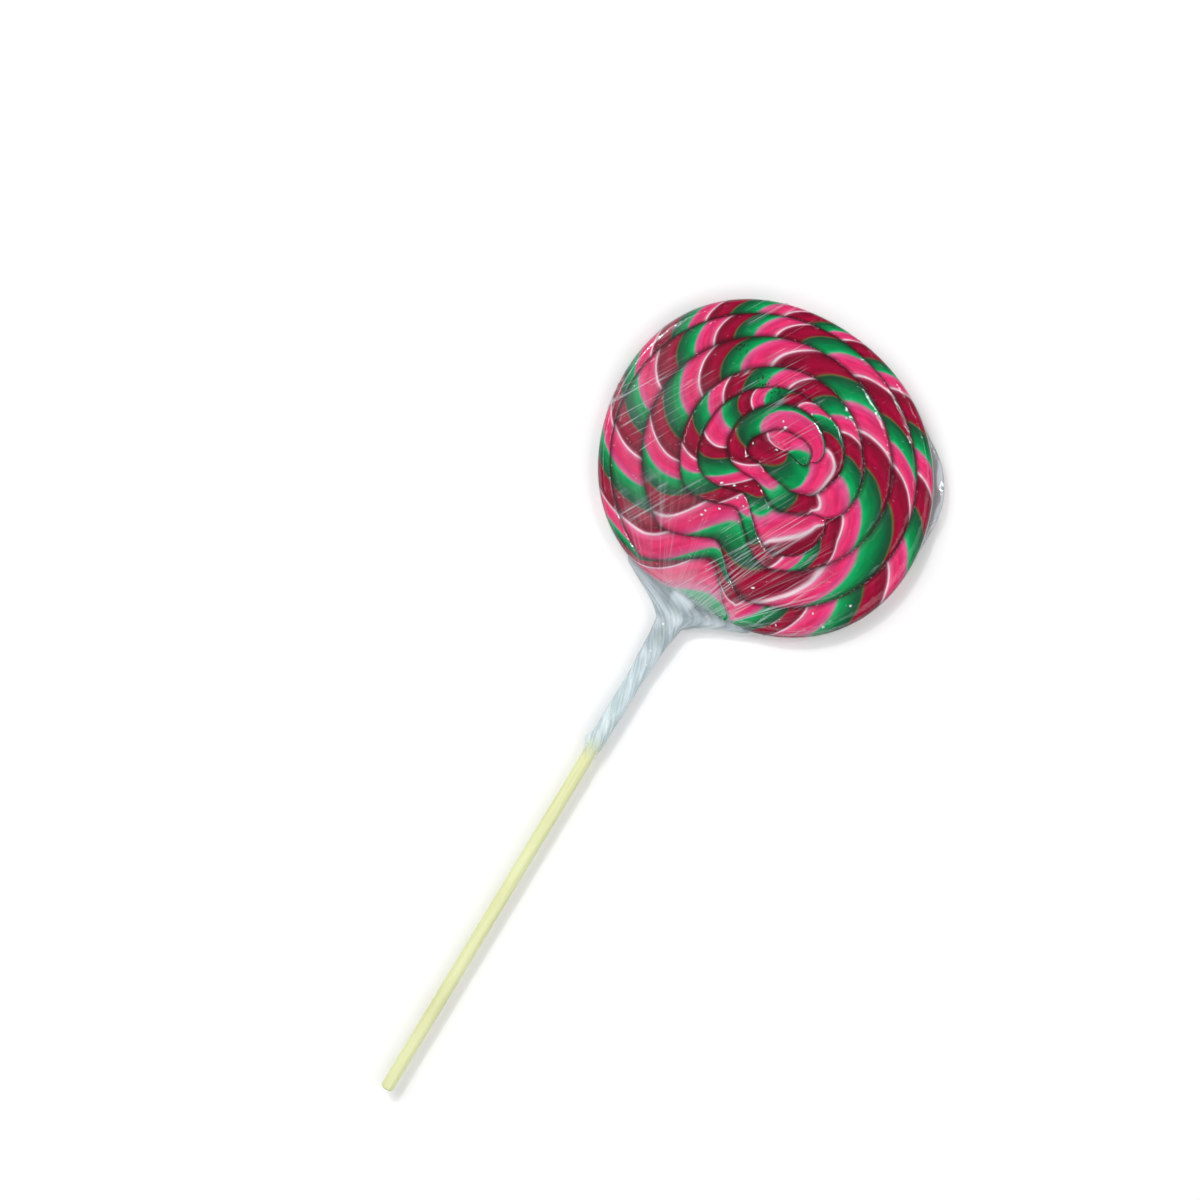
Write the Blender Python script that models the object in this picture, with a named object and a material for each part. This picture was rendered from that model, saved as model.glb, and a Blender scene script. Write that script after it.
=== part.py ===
"""Swirl lollipop: a flat disc of coiled twisted sugar rope on a dowel, in a clear film bag.

Frame: origin under the middle of the disc, on the resting plane.
+Y runs along the stick from its free end towards the disc, +Z is the shown face.
All lengths below are in millimetres and are turned into metres at the end.
"""
import math

import bmesh
import bpy

MM = 0.001

# Disc outline: mean radius and four harmonics as (amplitude, direction in degrees)
DISC_RADIUS = 75.4
DISC_WAVES = ((3.57, 58.3), (3.65, -13.4), (1.02, -8.8), (1.02, -37.8))

# Candy heights
CANDY_BOTTOM = 0.6
CANDY_TOP = 13.2
CANDY_MIDDLE = 6.7
GROOVE_DEPTH = 2.3
UNDER_GROOVE_DEPTH = 0.9
RIM_RADIUS = 6.0
FULL_STRAND_WIDTH = 10.0

# Coil: angles are counted in degrees of winding, counterclockwise and outward
STEP = 5
PHASE = 31.2
HEART = (5.66, 13.94)
DRIFT = (-0.847, -3.195)
OVAL = 0.043
OVAL_AXIS = -19.1
LONG_START, LONG_RATE, LONG_EASE = 16.88, 20.95, -1.528
SHORT_START, SHORT_RATE = 4.74, 21.37
LONG_FROM, LONG_TO = -25, 1695
SHORT_FROM, SHORT_TO = -50, 665
TONGUE_LENGTH = 11.2

# Dent that the stick pressed into the turns that cross it
DENT_DEPTHS = (12.0, 6.0, 3.5)
DENT_SHIFTS = (4.5, 5.0)
DENT_LEFT = 26.0
DENT_RIGHT = 23.0

# Stick
STICK_RADIUS = 3.0
STICK_HEIGHT = 6.5
STICK_END = -325.5
STICK_INNER_END = -26.0
STICK_ROUNDING = 0.8
SOCKET_GAP = 0.3

# Film bag
FILM = 0.35
FILM_BOTTOM_INSIDE = 0.35
FILM_TOP_INSIDE = 13.55
FILM_EDGE_GAP = 0.5
FILM_EDGE_DEPTH = 3.2
FILM_SEGMENTS = 72
FLAP_FROM, FLAP_TO = -2.0, 46.0
FLAP_REACH = 6.2
FLAP_THICKNESS = 0.8
# Neck and sleeve as (y, sideways shift, half width, half height)
NECK = (
    (-50.0, 1.0, 28.0, 4.8),
    (-58.0, 2.0, 33.0, 4.8),
    (-62.0, 2.0, 34.0, 4.7),
    (-65.2, 1.6, 31.6, 4.6),
    (-69.5, 0.9, 22.6, 4.5),
    (-72.5, 0.5, 16.4, 4.4),
    (-75.5, 0.2, 11.3, 4.3),
    (-79.4, 0.0, 6.8, 4.3),
    (-88.0, 0.0, 5.4, 4.2),
    (-97.0, 0.0, 4.5, 4.1),
    (-109.0, 0.0, 3.9, 3.9),
    (-132.0, 0.0, 4.0, 3.9),
    (-148.4, 0.0, 3.8, 3.8),
)
SLEEVE_SIDES = 28


def ease(value, low, high):
    """Smooth 0 to 1 step of value between low and high."""
    x = min(1.0, max(0.0, (value - low) / (high - low)))
    return x * x * (3.0 - 2.0 * x)


def outline_radius(angle):
    """Radius of the disc's outline at an angle in radians."""
    radius = DISC_RADIUS
    for order, (amplitude, direction) in enumerate(DISC_WAVES, start=1):
        radius += amplitude * math.cos(order * (angle - math.radians(direction)))
    return radius


def outline_point(angle, offset=0.0):
    """Point of the outline moved outward by offset."""
    radius = outline_radius(angle) + offset
    return radius * math.cos(angle), radius * math.sin(angle)


def dent_share(turn, short):
    """Share of the dent that a strand takes at a turn; the heart of the coil is spared."""
    if short:
        return 0.6 * ease(turn, 0.42, 0.62) + 0.4 * ease(turn, 1.0, 1.4)
    return ease(turn, 0.30, 0.60)


def spiral_point(winding, radius, short=False):
    """Point at a winding angle and radius about the coil's drifting centre, with the dent."""
    turn = winding / 360.0
    angle = math.radians(winding + PHASE)
    grow = min(1.0, max(0.0, turn / 2.0))
    oval = 1.0 + OVAL * math.cos(2.0 * (angle - math.radians(OVAL_AXIS))) * grow
    x = HEART[0] + DRIFT[0] * turn + radius * oval * math.cos(angle)
    y = HEART[1] + DRIFT[1] * turn + radius * oval * math.sin(angle)
    push = DENT_DEPTHS[0] + DENT_DEPTHS[1] * ease(turn, 0.8, 1.5) + DENT_DEPTHS[2] * ease(turn, 2.9, 3.6)
    peak = DENT_SHIFTS[0] * (1.0 - ease(turn, 0.8, 1.2)) + DENT_SHIFTS[1] * ease(turn, 3.2, 3.6)
    left = max(0.0, 1.0 + min(0.0, x) / DENT_LEFT) ** 1.2
    right = max(0.0, 1.0 - max(0.0, x - peak) / DENT_RIGHT) ** 1.5
    below = ease(-math.sin(angle), 0.1, 0.6)
    return x, y + push * left * right * below * dent_share(turn, short)


def long_radius(winding):
    """Outer radius of the long strand at a winding angle."""
    turn = winding / 360.0
    law = LONG_START + LONG_RATE * turn + LONG_EASE * turn * turn
    if winding < 0:
        start = (winding - LONG_FROM) / -LONG_FROM
        inner = short_radius(winding)
        return inner + (law - inner) * math.sqrt(max(0.0, 1.0 - (1.0 - start) ** 2))
    law -= 4.5 * ease(winding, 250, 280) * (1.0 - ease(winding, 296, 306))
    law += 2.8 * ease(winding, 300, 316) * (1.0 - ease(winding, 330, 372))
    return law


def short_radius(winding):
    """Outer radius of the short strand at a winding angle."""
    turn = winding / 360.0
    law = SHORT_START + SHORT_RATE * turn
    if winding < 90:
        half = -5.0 - SHORT_FROM
        offset = min(0.0, winding + 5.0) / half
        tongue = TONGUE_LENGTH * math.sqrt(max(0.0, 1.0 - abs(offset) ** 5))
        return tongue + (law - tongue) * ease(winding, -5, 90)
    law += 2.0 * ease(winding, 125, 160) * (1.0 - ease(winding, 185, 220))
    law -= 2.6 * ease(winding, 225, 262) * (1.0 - ease(winding, 280, 330))
    law += 2.2 * ease(winding, 325, 350) * (1.0 - ease(winding, 375, 420))
    if winding > 635:
        inner = long_radius(winding - 360)
        end = (winding - 635) / (SHORT_TO - 635)
        return inner + (law - inner) * math.sqrt(max(0.0, 1.0 - end * end))
    return law


def long_point(winding):
    """Outer boundary of the long strand; the last turn is the disc's outline."""
    if winding >= LONG_TO - 360:
        x, y = spiral_point(winding, long_radius(winding))
        return outline_point(math.atan2(y, x))
    return spiral_point(winding, long_radius(winding))


def short_point(winding):
    """Outer boundary of the short strand."""
    return spiral_point(winding, short_radius(winding), True)


class Coil:
    """Builds the coiled candy as one closed mesh of strips that share their groove lines."""

    def __init__(self):
        self.mesh = bmesh.new()
        self.cache = {}

    def boundary(self, strand, winding):
        """Name of a boundary sample, with the ends of the strands folded together."""
        if strand == "short":
            if winding <= SHORT_FROM:
                return ("heart", 0)
            if winding >= SHORT_TO:
                return self.boundary("long", winding - 360)
            return ("short", winding)
        if winding <= LONG_FROM:
            return self.boundary("short", winding)
        if winding >= LONG_TO:
            return ("long", winding - 360)
        return ("long", winding)

    def inner(self, strand, winding):
        """Name of the boundary sample on the inner side of a strand."""
        if strand == "long":
            if winding <= SHORT_TO:
                return self.boundary("short", winding)
            return self.boundary("long", winding - 360)
        if winding - 360 <= SHORT_FROM:
            return ("heart", 0)
        if winding - 360 <= LONG_FROM:
            return self.boundary("short", winding - 360)
        return self.boundary("long", winding - 360)

    def place(self, name):
        """Plan position of a boundary sample."""
        kind, winding = name
        if kind == "heart":
            return HEART
        return long_point(winding) if kind == "long" else short_point(winding)

    def on_outline(self, name):
        """True if a boundary sample lies on the disc's outline."""
        return name[0] == "long" and name[1] >= LONG_TO - 360

    def groove_height(self, name, top):
        """Height of a boundary sample on the top or the underside."""
        if self.on_outline(name):
            return CANDY_MIDDLE
        lift = 1.5 if name[0] == "heart" else 0.0
        if top:
            return CANDY_TOP - GROOVE_DEPTH + lift
        return CANDY_BOTTOM + UNDER_GROOVE_DEPTH - 0.4 * lift

    def vertex(self, strand, winding, share, top):
        """Mesh vertex at a share (0 inner, 1 outer) across a strand."""
        inner = self.inner(strand, winding)
        outer = self.boundary(strand, winding)
        if share <= 0.0 or inner == outer:
            key = (inner, top and not self.on_outline(inner))
            point = self.place(inner)
            height = self.groove_height(inner, top)
        elif share >= 1.0:
            key = (outer, top and not self.on_outline(outer))
            point = self.place(outer)
            height = self.groove_height(outer, top)
        else:
            key = (strand, winding, share, top)
            a = self.place(inner)
            b = self.place(outer)
            point = (a[0] + (b[0] - a[0]) * share, a[1] + (b[1] - a[1]) * share)
            height = self.crown(inner, outer, math.dist(a, b), share, top)
        if key not in self.cache:
            self.cache[key] = self.mesh.verts.new((point[0] * MM, point[1] * MM, height * MM))
        return self.cache[key]

    def crown(self, inner, outer, width, share, top):
        """Height across a strand: a pillow between grooves, a quarter round at the outline."""
        full = math.sqrt(min(1.0, width / FULL_STRAND_WIDTH))
        side = outer if share > 0.5 else inner
        low = self.groove_height(side, top)
        away = abs(2.0 * share - 1.0)
        if self.on_outline(side):
            rim = min(RIM_RADIUS, width / 2.0)
            away = max(0.0, 1.0 - (1.0 - share) * width / rim)
        if top:
            crest = CANDY_TOP - GROOVE_DEPTH * (1.0 - full)
        else:
            crest = CANDY_BOTTOM + UNDER_GROOVE_DEPTH * (1.0 - full)
        power = 2.0 if self.on_outline(side) else 2.4
        return low + (crest - low) * math.sqrt(max(0.0, 1.0 - away ** power))

    def strip(self, strand, start, end, shares, top):
        """Faces of one strand on one side, between two winding angles."""
        for winding in range(start, end, STEP):
            for low, high in zip(shares, shares[1:]):
                ring = [
                    self.vertex(strand, winding, low, top),
                    self.vertex(strand, winding, high, top),
                    self.vertex(strand, winding + STEP, high, top),
                    self.vertex(strand, winding + STEP, low, top),
                ]
                corners = []
                for corner in ring:
                    if corner not in corners:
                        corners.append(corner)
                if len(corners) < 3:
                    continue
                if not top:
                    corners.reverse()
                self.mesh.faces.new(corners)

    def build(self):
        """Both sides of both strands."""
        for top, shares in ((True, (0.0, 0.22, 0.5, 0.84, 1.0)), (False, (0.0, 0.5, 0.84, 1.0))):
            self.strip("short", SHORT_FROM, SHORT_TO, shares, top)
            self.strip("long", LONG_FROM, LONG_TO, shares, top)
        return self.mesh


def add_object(name, mesh, collection):
    """Turn a bmesh into a named object with its faces pointing outward."""
    bmesh.ops.recalc_face_normals(mesh, faces=mesh.faces)
    data = bpy.data.meshes.new(name)
    mesh.to_mesh(data)
    mesh.free()
    item = bpy.data.objects.new(name, data)
    collection.objects.link(item)
    return item


def loft(sections):
    """Closed loft through rings of equal length, given as lists of points in millimetres."""
    mesh = bmesh.new()
    rings = [[mesh.verts.new((x * MM, y * MM, z * MM)) for x, y, z in ring] for ring in sections]
    count = len(rings[0])
    for first, second in zip(rings, rings[1:]):
        for i in range(count):
            j = (i + 1) % count
            mesh.faces.new((first[i], first[j], second[j], second[i]))
    mesh.faces.new(list(reversed(rings[0])))
    mesh.faces.new(rings[-1])
    return mesh


def tube_ring(y, half_width, half_height, sides, height, shift=0.0):
    """Elliptical ring across the Y axis, moved sideways by shift."""
    ring = []
    for i in range(sides):
        angle = 2.0 * math.pi * i / sides
        x = shift + half_width * math.cos(angle)
        ring.append((x, y, height + half_height * math.sin(angle)))
    return ring


def disc_body(offset, bottom, top):
    """Flat round body that follows the outline, with a rounded edge above and below."""
    middle = CANDY_MIDDLE
    sections = []
    levels = []
    for step in range(-4, 5):
        levels.append(math.radians(22.5 * step))
    for level in levels:
        reach = offset - FILM_EDGE_DEPTH * (1.0 - math.cos(level))
        span = (top - middle) if level > 0.0 else (middle - bottom)
        z = middle + span * math.sin(level)
        ring = []
        for i in range(FILM_SEGMENTS):
            x, y = outline_point(2.0 * math.pi * i / FILM_SEGMENTS, reach)
            ring.append((x, y, z))
        sections.append(ring)
    return loft(sections)


def neck_body(grow):
    """Neck and sleeve, grown by a wall thickness; the inside one runs out past the end."""
    sections = []
    for index, (y, shift, half_width, half_height) in enumerate(NECK):
        last = index == len(NECK) - 1
        run = y - 2.0 if last and grow < 0.0 else y
        width, height = half_width + grow, half_height + grow
        sections.append(tube_ring(run, width, height, SLEEVE_SIDES, STICK_HEIGHT, shift))
    return loft(sections)


def flap_body():
    """Flat ear of film where its two layers meet beyond the disc's edge."""
    low = STICK_HEIGHT - FLAP_THICKNESS / 2.0
    rows = []
    count = 24
    for i in range(count + 1):
        share = i / count
        angle = math.radians(FLAP_FROM + (FLAP_TO - FLAP_FROM) * share)
        reach = FILM_EDGE_GAP + FILM * 0.5 + FLAP_REACH * math.sin(math.pi * share) ** 1.3
        rows.append(outline_point(angle, reach))
    edge = list(rows)
    for i in range(count, -1, -1):
        share = i / count
        angle = math.radians(FLAP_FROM + (FLAP_TO - FLAP_FROM) * share)
        edge.append(outline_point(angle, -2.0))
    return loft([[(x, y, low + z) for x, y in edge] for z in (0.0, FLAP_THICKNESS)])


def boolean(target, cutter, operation):
    """Apply one Boolean and keep the cutter out of the render."""
    modifier = target.modifiers.new("bool", "BOOLEAN")
    modifier.object = cutter
    modifier.operation = operation
    modifier.solver = "EXACT"
    bpy.context.view_layer.objects.active = target
    bpy.ops.object.modifier_apply(modifier=modifier.name)


def paint(item, name, colour, roughness, alpha=1.0):
    """Give an object its own Principled material."""
    material = bpy.data.materials.new(name)
    material.use_nodes = True
    shader = material.node_tree.nodes["Principled BSDF"]
    shader.inputs["Base Color"].default_value = (*colour, 1.0)
    shader.inputs["Roughness"].default_value = roughness
    shader.inputs["Alpha"].default_value = alpha
    material.diffuse_color = (*colour, alpha)
    item.data.materials.clear()
    item.data.materials.append(material)


def build_candy(parts, cutters):
    """Coiled disc with the socket for the stick."""
    candy = add_object("candy", Coil().build(), parts)
    length = STICK_INNER_END + SOCKET_GAP
    rings = []
    for y in (length, -95.0):
        radius = STICK_RADIUS + SOCKET_GAP
        rings.append(tube_ring(y, radius, radius, 32, STICK_HEIGHT))
    socket = add_object("socket_cutter", loft(rings), cutters)
    boolean(candy, socket, "DIFFERENCE")
    paint(candy, "candy_sugar", (0.80, 0.05, 0.20), 0.25)
    return candy


def build_stick(parts):
    """Round dowel with slightly rounded ends."""
    r, soft = STICK_RADIUS, STICK_ROUNDING
    rings = []
    for y, radius in (
        (STICK_END, r - soft),
        (STICK_END + 0.3 * soft, r - 0.3 * soft),
        (STICK_END + soft, r),
        (STICK_INNER_END - soft, r),
        (STICK_INNER_END, r - soft),
    ):
        rings.append(tube_ring(y, radius, radius, 32, STICK_HEIGHT))
    stick = add_object("stick", loft(rings), parts)
    paint(stick, "stick_wood", (0.80, 0.78, 0.50), 0.6)
    return stick


def build_film(parts, cutters):
    """Thin bag: disc, ear, neck and sleeve, hollow inside and open at the sleeve's end."""
    edge = FILM_EDGE_GAP
    film = add_object(
        "film_wrapper", disc_body(edge + FILM, FILM_BOTTOM_INSIDE - FILM, FILM_TOP_INSIDE + FILM), parts
    )
    for name, mesh in (("neck_outside", neck_body(0.0)), ("ear_outside", flap_body())):
        boolean(film, add_object(name, mesh, cutters), "UNION")
    room = add_object("room_inside", disc_body(edge, FILM_BOTTOM_INSIDE, FILM_TOP_INSIDE), cutters)
    boolean(room, add_object("neck_inside", neck_body(-0.45), cutters), "UNION")
    boolean(film, room, "DIFFERENCE")
    paint(film, "film_clear", (0.85, 0.89, 0.91), 0.15, 0.3)
    return film


def main():
    """Build the three pieces."""
    for item in list(bpy.data.objects):
        bpy.data.objects.remove(item, do_unlink=True)
    parts = bpy.data.collections.new("swirl_lollipop")
    cutters = bpy.data.collections.new("cutters")
    for collection in (parts, cutters):
        bpy.context.scene.collection.children.link(collection)
    build_candy(parts, cutters)
    build_stick(parts)
    build_film(parts, cutters)
    for cutter in cutters.objects:
        cutter.hide_render = True
        cutter.display_type = "WIRE"


main()
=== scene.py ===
"""Swirl lollipop: striped sugar rope coiled into a disc on a wooden stick, in clear film.

The coil's law, the outline and the neck's sections repeat the sizes of the part's source.
Lengths inside the classes are in millimetres; meshes and coordinates are in metres.
"""
from __future__ import annotations

import logging
import math
from dataclasses import dataclass, field
from enum import Enum
from typing import Callable

import bmesh
import bpy
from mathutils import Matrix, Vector, noise

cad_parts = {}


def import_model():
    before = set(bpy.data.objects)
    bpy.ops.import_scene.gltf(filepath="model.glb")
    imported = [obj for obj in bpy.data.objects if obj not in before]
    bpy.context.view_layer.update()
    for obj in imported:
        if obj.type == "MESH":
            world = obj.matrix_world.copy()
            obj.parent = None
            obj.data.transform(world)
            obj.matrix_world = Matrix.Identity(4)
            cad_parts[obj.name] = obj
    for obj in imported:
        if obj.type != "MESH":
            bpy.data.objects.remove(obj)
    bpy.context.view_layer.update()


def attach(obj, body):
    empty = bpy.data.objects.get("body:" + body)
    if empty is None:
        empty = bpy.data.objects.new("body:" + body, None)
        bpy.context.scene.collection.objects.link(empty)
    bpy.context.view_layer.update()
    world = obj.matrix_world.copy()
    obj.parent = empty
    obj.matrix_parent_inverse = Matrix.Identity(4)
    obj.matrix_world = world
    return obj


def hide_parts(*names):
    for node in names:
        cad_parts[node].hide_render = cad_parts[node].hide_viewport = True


MM = 0.001
LOG = logging.getLogger("swirl_lollipop")
Point = tuple[float, float]
Triple = tuple[float, float, float]
Row = tuple[float, float, float, float]
Colour = tuple[int, int, int]
Socket = bpy.types.NodeSocket
Mesh = bmesh.types.BMesh


class Strand(Enum):
    """The two ropes that the coil is wound from."""

    LONG = "long"
    SHORT = "short"


class Side(Enum):
    """Which face of the disc a strip belongs to."""

    TOP = "top"
    UNDER = "under"


def ease(value: float, low: float, high: float) -> float:
    """Smooth step from 0 to 1.

    Args:
        value: the number to place.
        low: where the step starts.
        high: where the step ends.

    Returns:
        A share from 0 to 1.
    """
    x = min(1.0, max(0.0, (value - low) / (high - low)))
    return x * x * (3.0 - 2.0 * x)


def ripple(x: float, y: float, z: float = 0.0) -> float:
    """Smooth repeatable noise, about -1 to 1, at a point given by three numbers."""
    return noise.noise(Vector((x, y, z)))


def shade(red: int, green: int, blue: int) -> tuple[float, float, float, float]:
    """Screen colour as scene-linear colour.

    Args:
        red: 0 to 255.
        green: 0 to 255.
        blue: 0 to 255.

    Returns:
        Linear red, green, blue and an alpha of 1.
    """
    linear = []
    for value in (red, green, blue):
        share = value / 255.0
        linear.append(share / 12.92 if share <= 0.04045 else ((share + 0.055) / 1.055) ** 2.4)
    return (linear[0], linear[1], linear[2], 1.0)


class Graph:
    """Short way to add and link nodes; every value may be a socket or a constant."""

    def __init__(self, tree: bpy.types.NodeTree) -> None:
        """Keep the node tree."""
        self.tree = tree

    def feed(self, node: bpy.types.Node, inputs: dict) -> bpy.types.Node:
        """Link or set some of a node's inputs.

        Args:
            node: the node.
            inputs: the value of each input, by index or name; None leaves it alone.

        Returns:
            The node.
        """
        for key, source in inputs.items():
            if isinstance(source, Socket):
                self.tree.links.new(source, node.inputs[key])
            elif source is not None:
                node.inputs[key].default_value = source
        return node

    def add(self, kind: str, inputs: dict | None = None, **settings: object) -> bpy.types.Node:
        """Add a node.

        Args:
            kind: node type name.
            inputs: the value of each input, by index or name.
            settings: attributes of the node.

        Returns:
            The new node.
        """
        node = self.tree.nodes.new(kind)
        for name, value in settings.items():
            setattr(node, name, value)
        return self.feed(node, inputs or {})

    def math(self, operation: str, first: object, second: object = None,
             clamp: bool = False) -> Socket:
        """Result of a Math node; clamp keeps it from 0 to 1."""
        inputs = {0: first, 1: second}
        return self.add("ShaderNodeMath", inputs, operation=operation, use_clamp=clamp).outputs[0]

    def plus(self, first: object, second: object, clamp: bool = False) -> Socket:
        """Sum of two values."""
        return self.math("ADD", first, second, clamp)

    def minus(self, first: object, second: object, clamp: bool = False) -> Socket:
        """First value less the second."""
        return self.math("SUBTRACT", first, second, clamp)

    def times(self, first: object, second: object, clamp: bool = False) -> Socket:
        """Product of two values."""
        return self.math("MULTIPLY", first, second, clamp)

    def length(self, x: object, y: object) -> Socket:
        """Length of a flat vector."""
        return self.math("SQRT", self.plus(self.times(x, x), self.times(y, y)))

    def off_middle(self, share: object) -> Socket:
        """How far a share is from the middle: 0 there, 1 at both edges."""
        return self.math("ABSOLUTE", self.minus(self.times(share, 2.0), 1.0))

    def span(self, value: object, low: float, high: float, start: float = 0.0,
             end: float = 1.0) -> Socket:
        """Smooth map of a value, which gives start at low and end at high."""
        return self.add("ShaderNodeMapRange", dict(enumerate((value, low, high, start, end))),
                        interpolation_type="SMOOTHSTEP", clamp=True).outputs[0]

    def reach(self, value: object, low: float, high: float, start: float = 0.0,
              end: float = 1.0) -> Socket:
        """Span of a length in metres, with its range given in millimetres."""
        return self.span(value, low * MM, high * MM, start, end)

    def vector(self, x: object, y: object, z: object = 0.0) -> Socket:
        """Three values as one vector."""
        return self.add("ShaderNodeCombineXYZ", {0: x, 1: y, 2: z}).outputs[0]

    def parts(self, vector: Socket) -> list[Socket]:
        """The three values of a vector."""
        return list(self.add("ShaderNodeSeparateXYZ", {0: vector}).outputs)

    def place(self) -> Socket:
        """Object coordinates in metres."""
        return self.add("ShaderNodeTexCoord").outputs["Object"]

    def rope(self) -> Socket:
        """The piece's own UV map."""
        return self.add("ShaderNodeUVMap", uv_map="rope").outputs[0]

    def noise(self, vector: object, scale: float, detail: float = 2.0) -> Socket:
        """Noise value, about 0 to 1."""
        inputs = {"Vector": vector, "Scale": scale, "Detail": detail}
        return self.add("ShaderNodeTexNoise", inputs).outputs[0]

    def mix(self, share: object, first: object, second: object, blend: str = "MIX") -> Socket:
        """Colour mix; a share of 0 gives the first and 1 the second."""
        inputs = {0: share, 6: first, 7: second}
        return self.add("ShaderNodeMix", inputs, data_type="RGBA", blend_type=blend).outputs[2]

    def bump(self, height: object, strength: float, distance: float) -> Socket:
        """Bump normal; distance is the millimetres that a height of 1 stands for."""
        inputs = {"Strength": strength, "Distance": distance * MM, "Height": height}
        return self.add("ShaderNodeBump", inputs).outputs[0]

    def spots(self, place: object, points: tuple[Point, ...], level: float, inner: float,
              outer: float) -> Socket:
        """Round soft masks about some points; all lengths are in millimetres.

        Args:
            place: coordinates to measure from, in metres.
            points: x and y of each point.
            level: z of the points.
            inner: radius inside which the mask is full.
            outer: radius where it ends.

        Returns:
            The mask socket.
        """
        near = None
        for x, y in points:
            gap = self.add("ShaderNodeVectorMath", {0: place, 1: (x * MM, y * MM, level * MM)},
                           operation="DISTANCE")
            mask = self.reach(gap.outputs["Value"], inner, outer, 1.0, 0.0)
            near = mask if near is None else self.math("MAXIMUM", near, mask)
        return near


def streak_group() -> bpy.types.NodeTree:
    """Node group of fine streaks, shared by the sugar, the wood and the film.

    Returns:
        The group: Vector, Across, Along and Sharpness in; Tone and Line out.
    """
    name = "fine_streaks"
    if name in bpy.data.node_groups:
        return bpy.data.node_groups[name]
    group = bpy.data.node_groups.new(name, "ShaderNodeTree")
    face = group.interface
    face.new_socket("Vector", in_out="INPUT", socket_type="NodeSocketVector")
    for label, start in (("Across", 40.0), ("Along", 2.0), ("Sharpness", 8.0)):
        socket = face.new_socket(label, in_out="INPUT", socket_type="NodeSocketFloat")
        socket.default_value = start
    for label in ("Tone", "Line"):
        face.new_socket(label, in_out="OUTPUT", socket_type="NodeSocketFloat")
    graph = Graph(group)
    entry = graph.add("NodeGroupInput")
    out = graph.add("NodeGroupOutput")
    x, y, z = graph.parts(entry.outputs["Vector"])
    wide = graph.times(x, entry.outputs["Across"])
    run = graph.times(y, entry.outputs["Along"])
    tone = graph.noise(graph.vector(wide, run, z), 1.4)
    ridge = graph.math("ABSOLUTE", graph.minus(tone, 0.5))
    thin = graph.minus(1.0, graph.times(ridge, entry.outputs["Sharpness"]), clamp=True)
    graph.feed(out, {"Tone": tone, "Line": thin})
    return group


def streaks(graph: Graph, vector: object, kind: Triple) -> tuple:
    """Place the streak group in a material.

    Args:
        graph: the material's graph.
        vector: where to read the streaks; x runs across them and y along them.
        kind: how fine the streaks are, how soon they end and how thin their lines are.

    Returns:
        The sockets Tone and Line.
    """
    inputs = {"Vector": vector, "Across": kind[0], "Along": kind[1], "Sharpness": kind[2]}
    node = graph.add("ShaderNodeGroup", inputs, node_tree=streak_group())
    return node.outputs["Tone"], node.outputs["Line"]


def fresh(name: str) -> tuple[bpy.types.Material, Graph, bpy.types.Node]:
    """New material.

    Args:
        name: material name.

    Returns:
        The material, its graph and its Principled shader.
    """
    material = bpy.data.materials.new(name)
    material.use_nodes = True
    return material, Graph(material.node_tree), material.node_tree.nodes["Principled BSDF"]


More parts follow.
